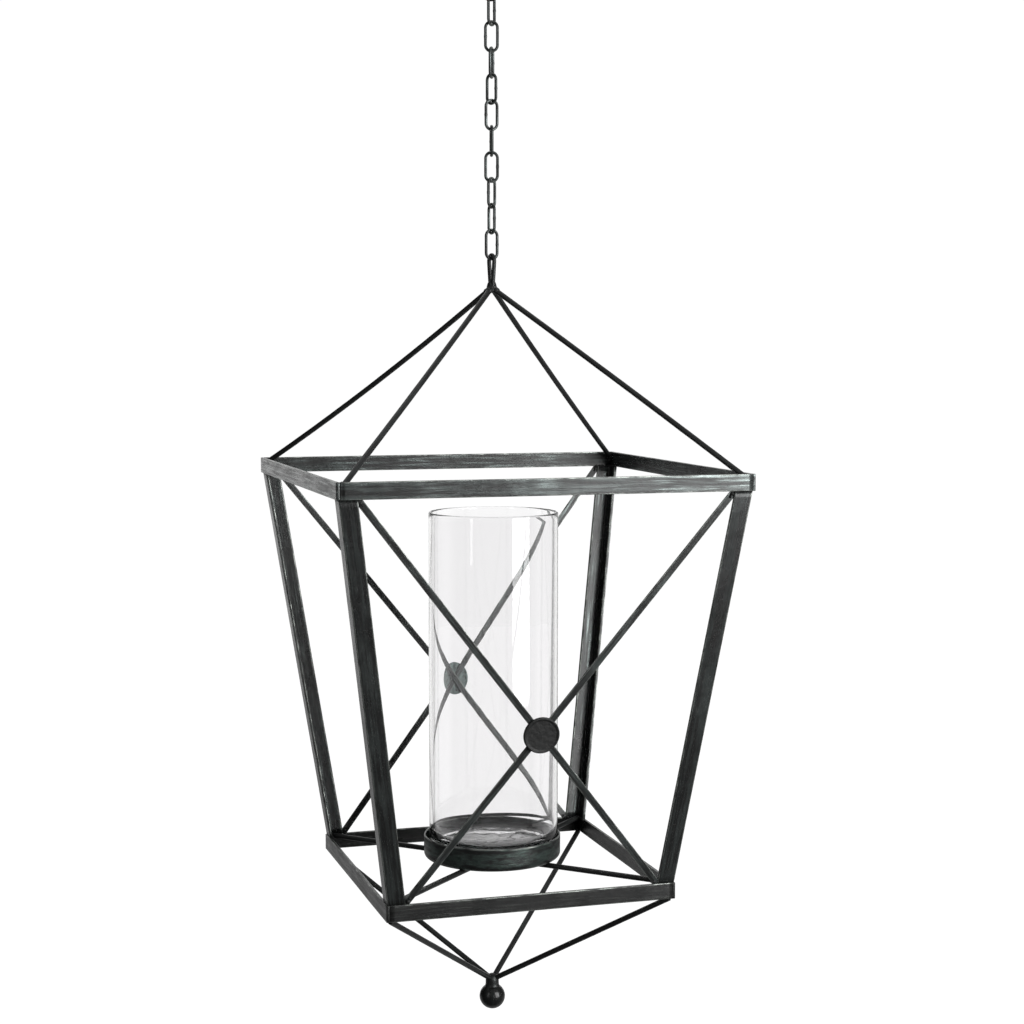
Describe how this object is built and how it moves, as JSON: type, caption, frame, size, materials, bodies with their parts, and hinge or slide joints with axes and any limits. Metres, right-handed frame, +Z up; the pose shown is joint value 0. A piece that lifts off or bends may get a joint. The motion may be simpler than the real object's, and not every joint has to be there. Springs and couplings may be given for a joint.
{
  "type": "hanging lantern",
  "caption": "Open tapered iron frame lantern with a glass cylinder in a dish, crossed straps on two faces and a ball finial, hung on a chain.",
  "frame": {"origin": "on the ceiling face, at the axis of the hook's screw, from which everything hangs", "axes": "+Z up along the screw, the chain and the lantern's axis; -Y is the face with the front cross straps and disc; +X is to the right seen from that face"},
  "size_m": [0.386, 0.386, 1.0333],
  "materials": {
    "hook_steel": "blackened steel, satin",
    "chain_steel": "blackened welded steel chain, satin",
    "rod_iron": "black round iron rod, hand rubbed",
    "rail_iron": "aged grey-black flat bar, brushed along its length",
    "post_iron": "aged grey-black angle iron, brushed along its length",
    "strap_iron": "grey-black flat strap, satin",
    "disc_iron": "black iron plate, rubbed",
    "dish_iron": "black-green spun iron pan, satin",
    "ball_iron": "polished black",
    "clear_glass": "clear pressed glass with a thick foot"
  },
  "bodies": {
    "hook": {"ceiling_hook": "hook_steel"},
    "link_01": {"chain_link_01": "chain_steel"},
    "link_02": {"chain_link_02": "chain_steel"},
    "link_03": {"chain_link_03": "chain_steel"},
    "link_04": {"chain_link_04": "chain_steel"},
    "link_05": {"chain_link_05": "chain_steel"},
    "link_06": {"chain_link_06": "chain_steel"},
    "link_07": {"chain_link_07": "chain_steel"},
    "link_08": {"chain_link_08": "chain_steel"},
    "link_09": {"chain_link_09": "chain_steel"},
    "link_10": {"chain_link_10": "chain_steel"},
    "lantern": {"hanging_loop": "rod_iron", "apex_knuckle": "rod_iron", "roof_rod_front_left": "rod_iron", "roof_rod_front_right": "rod_iron", "roof_rod_back_left": "rod_iron", "roof_rod_back_right": "rod_iron", "top_rail_front": "rail_iron", "top_rail_back": "rail_iron", "top_rail_left": "rail_iron", "top_rail_right": "rail_iron", "corner_post_front_left": "post_iron", "corner_post_front_right": "post_iron", "corner_post_back_left": "post_iron", "corner_post_back_right": "post_iron", "bottom_rail_front": "rail_iron", "bottom_rail_back": "rail_iron", "bottom_rail_left": "rail_iron", "bottom_rail_right": "rail_iron", "front_brace_from_left": "strap_iron", "front_brace_from_right": "strap_iron", "back_brace_from_left": "strap_iron", "back_brace_from_right": "strap_iron", "front_disc": "disc_iron", "back_disc": "disc_iron", "floor_rod_front_left": "rod_iron", "floor_rod_front_right": "rod_iron", "floor_rod_back_left": "rod_iron", "floor_rod_back_right": "rod_iron", "candle_dish": "dish_iron", "lower_rod_front_left": "rod_iron", "lower_rod_front_right": "rod_iron", "lower_rod_back_left": "rod_iron", "lower_rod_back_right": "rod_iron", "finial_neck": "rod_iron", "ball_finial": "ball_iron"},
    "glass": {"glass_cylinder": "clear_glass"}
  },
  "joints": [
    {"name": "link_01_swing", "type": "hinge", "parent": "hook", "child": "link_01", "pos_m": [0, 0, -0.0264], "axis": [-0.6947, 0.7193, 0], "range_deg": [-12, 12]},
    {"name": "link_02_swing", "type": "hinge", "parent": "link_01", "child": "link_02", "pos_m": [0, 0, -0.05037], "axis": [0.2756, 0.9613, 0], "range_deg": [-12, 12]},
    {"name": "link_03_swing", "type": "hinge", "parent": "link_02", "child": "link_03", "pos_m": [0, 0, -0.07494], "axis": [-0.866, 0.5, 0], "range_deg": [-12, 12]},
    {"name": "link_04_swing", "type": "hinge", "parent": "link_03", "child": "link_04", "pos_m": [0, 0, -0.09951], "axis": [0.8572, 0.515, 0], "range_deg": [-12, 12]},
    {"name": "link_05_swing", "type": "hinge", "parent": "link_04", "child": "link_05", "pos_m": [0, 0, -0.12408], "axis": [-0.0872, 0.9962, 0], "range_deg": [-12, 12]},
    {"name": "link_06_swing", "type": "hinge", "parent": "link_05", "child": "link_06", "pos_m": [0, 0, -0.14865], "axis": [-0.9848, 0.1736, 0], "range_deg": [-12, 12]},
    {"name": "link_07_swing", "type": "hinge", "parent": "link_06", "child": "link_07", "pos_m": [0, 0, -0.17322], "axis": [0.2756, 0.9613, 0], "range_deg": [-12, 12]},
    {"name": "link_08_swing", "type": "hinge", "parent": "link_07", "child": "link_08", "pos_m": [0, 0, -0.19779], "axis": [-0.6691, 0.7431, 0], "range_deg": [-12, 12]},
    {"name": "link_09_swing", "type": "hinge", "parent": "link_08", "child": "link_09", "pos_m": [0, 0, -0.22236], "axis": [0.9781, 0.2079, 0], "range_deg": [-12, 12]},
    {"name": "link_10_swing", "type": "hinge", "parent": "link_09", "child": "link_10", "pos_m": [0, 0, -0.24693], "axis": [-0.1045, 0.9945, 0], "range_deg": [-12, 12]},
    {"name": "lantern_swing", "type": "hinge", "parent": "link_10", "child": "lantern", "pos_m": [0, 0, -0.2715], "axis": [0.9903, 0.1392, 0], "range_deg": [-12, 12]},
    {"name": "glass_lift", "type": "slide", "parent": "lantern", "child": "glass", "axis": [0, 0, 1], "range_m": [0, 0.028]}
  ]
}
